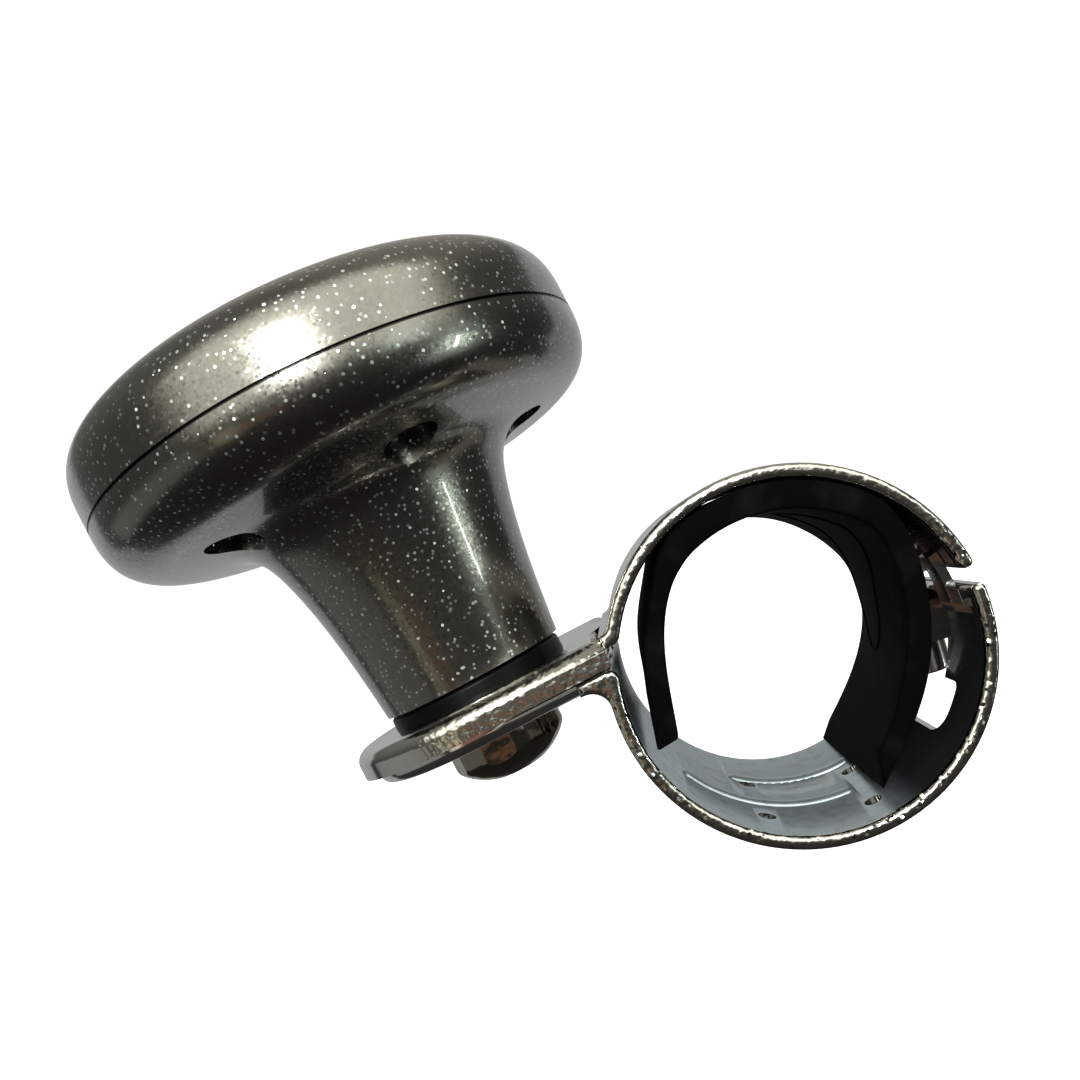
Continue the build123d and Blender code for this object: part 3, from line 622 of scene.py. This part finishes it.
def makeDull(s):
    material, tree, shader = newMaterial(s["name"])
    grain = placeGroup(tree, "specks", s["grain"])
    worn = placeGroup(tree, "specks", s["worn"])
    colour = mixColours(tree, worn.outputs["Mask"], s["colour"], s["rubbed"])
    # painted shade: the liner's outline is coloured near black, standing in for the shade along its raised
    # line
    if "outlineShade" in s:
        colour = mixColours(tree, lensMask(tree), s["outlineShade"], colour)
    gloss = mathNode(tree, "MULTIPLY_ADD", worn.outputs["Height"], s["spread"], s["roughness"])
    tree.links.new(colour, shader.inputs["Base Color"])
    tree.links.new(bumpFrom(tree, grain.outputs["Height"], s["grain"]["depth"]), shader.inputs["Normal"])
    tree.links.new(gloss, shader.inputs["Roughness"])
    shader.inputs["Specular IOR Level"].default_value = s["specular"]
    return material


finishes = {"knob_paint": makeKnobPaint(), "clamp_chrome": makeClampChrome()}
for slot, settings in metals.items():
    finishes[slot] = makeMetal(settings)
for slot, settings in dulls.items():
    finishes[slot] = makeDull(settings)
insideFinish = makeBandInside()
print("materials ready:", len(finishes) + 1)


def dressNodes():
    slots = {row["node"]: row["material_slot"] for row in frame["record"]["subparts"]}
    for name, node in frame["nodes"].items():
        node.data.materials.clear()
        node.data.materials.append(finishes[slots[name]])


dressNodes()
print("frame nodes dressed")


# both pressings and the liner are replaced by copies whose edges along the open sides are rounded
# openSide is the distance of those sides from the band's middle
# radius, openSide, merge and nearSide are in mm, and flat, corner and sharp are angles in degrees
bandRounding = {"radius": 0.58, "segments": 5, "openSide": 15.75, "slot": "clamp_chrome", "inside": True}
roundings = {
    "upper_clamp_half": bandRounding,
    "lower_clamp_half": bandRounding,
    "rim_liner": {"radius": 0.40, "segments": 4, "openSide": 15.4, "slot": "liner_rubber", "inside": False},
}
edgeRules = {"merge": 0.002, "flat": 0.6, "nearSide": 0.02, "corner": 35, "sharp": 38}

# the inside finish goes on faces within reach of the band's axis, off its rims and turned inward by the slope
insideFaces = {"reach": 18.35, "halfWidth": 14.9, "slope": 0.3}


def openSideEdges(shape, openSide):
    # the edges along both open sides, where the faces meet at a corner
    chosen = []
    for edge in shape.edges:
        onSide = all(abs(abs(v.co.y) - openSide * mm) < edgeRules["nearSide"] * mm for v in edge.verts)
        cornered = len(edge.link_faces) == 2 and edge.calc_face_angle() > math.radians(edgeRules["corner"])
        if onSide and cornered:
            chosen.append(edge)
    return chosen


def roundedMesh(nodeName, s):
    mesh = frame["nodes"][nodeName].data.copy()
    mesh.name = nodeName + "_worn"
    shape = bmesh.new()
    shape.from_mesh(mesh)
    bmesh.ops.remove_doubles(shape, verts=shape.verts, dist=edgeRules["merge"] * mm)
    bmesh.ops.dissolve_limit(shape, angle_limit=math.radians(edgeRules["flat"]), verts=shape.verts,
                             edges=shape.edges, use_dissolve_boundaries=False)
    lowest = [min(v.co[axis] for v in shape.verts) for axis in range(3)]
    highest = [max(v.co[axis] for v in shape.verts) for axis in range(3)]
    bmesh.ops.bevel(shape, geom=openSideEdges(shape, s["openSide"]), offset=s["radius"] * mm,
                    offset_type="OFFSET", segments=s["segments"], profile=0.5, affect="EDGES",
                    clamp_overlap=False, miter_outer="ARC")
    # the rounding may pass the piece's own box by a hair, so it is held inside it
    for v in shape.verts:
        v.co = Vector([min(max(v.co[axis], lowest[axis]), highest[axis]) for axis in range(3)])
    shape.to_mesh(mesh)
    shape.free()
    return mesh


def finishInside(mesh):
    mesh.materials.append(insideFinish)
    for face in mesh.polygons:
        c = face.center
        radius = math.hypot(c.x, c.z)
        inBand = radius < insideFaces["reach"] * mm and abs(c.y) < insideFaces["halfWidth"] * mm
        inward = -(face.normal.x * c.x + face.normal.z * c.z)
        if inBand and inward > insideFaces["slope"] * radius:
            face.material_index = 1


def roundedPiece(nodeName, s):
    mesh = roundedMesh(nodeName, s)
    mesh.materials.clear()
    mesh.materials.append(finishes[s["slot"]])
    if s["inside"]:
        finishInside(mesh)
    mesh.set_sharp_from_angle(angle=math.radians(edgeRules["sharp"]))
    piece = newObject(nodeName + "_worn", mesh)
    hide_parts(nodeName)
    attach(piece, "root")
    print("rounded", nodeName, len(mesh.polygons), "faces")


for nodeName, settings in roundings.items():
    roundedPiece(nodeName, settings)


def outlineRoute():
    # points on the liner's inner face under the outline, each with the direction to the band's axis
    o = lensLine
    skin = bpy.data.objects["rim_liner_worn"].data
    surface = BVHTree.FromPolygons([v.co for v in skin.vertices], [p.vertices for p in skin.polygons])
    route = []
    for step in range(o["steps"]):
        turn = 2 * math.pi * step / o["steps"]
        ringTurn = math.radians(o["middle"] + o["halfTurn"] * math.cos(turn))
        start = Vector((0, o["halfWidth"] * mm * math.sin(turn), 0))
        outward = Vector((math.cos(ringTurn), 0, math.sin(ringTurn)))
        route.append((surface.ray_cast(start, outward)[0], -outward))
    return route


def lensOutline():
    # the thin raised line moulded on the liner's inner face, round the place of its lettering
    route = outlineRoute()
    radius, sides = lensLine["cord"] * mm, lensLine["sides"]
    verts = []
    for step, (spot, inward) in enumerate(route):
        along = (route[(step + 1) % len(route)][0] - route[step - 1][0]).normalized()
        across = along.cross(inward).normalized()
        lift = across.cross(along).normalized()
        for side in range(sides):
            turn = 2 * math.pi * side / sides
            verts.append(spot + radius * (math.cos(turn) * lift + math.sin(turn) * across))
    faces = []
    for step in range(len(route)):
        here, after = step * sides, (step + 1) % len(route) * sides
        for side in range(sides):
            beside = (side + 1) % sides
            faces.append((here + side, here + beside, after + beside, after + side))
    mesh = bpy.data.meshes.new("lens_outline")
    mesh.from_pydata(verts, [], faces)
    shape = bmesh.new()
    shape.from_mesh(mesh)
    bmesh.ops.recalc_face_normals(shape, faces=shape.faces)
    shape.to_mesh(mesh)
    shape.free()
    mesh.shade_smooth()
    mesh.materials.append(finishes["liner_rubber"])
    cord = newObject("lens_outline", mesh)
    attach(cord, "root")


lensOutline()
print("lens outline laid on the liner")
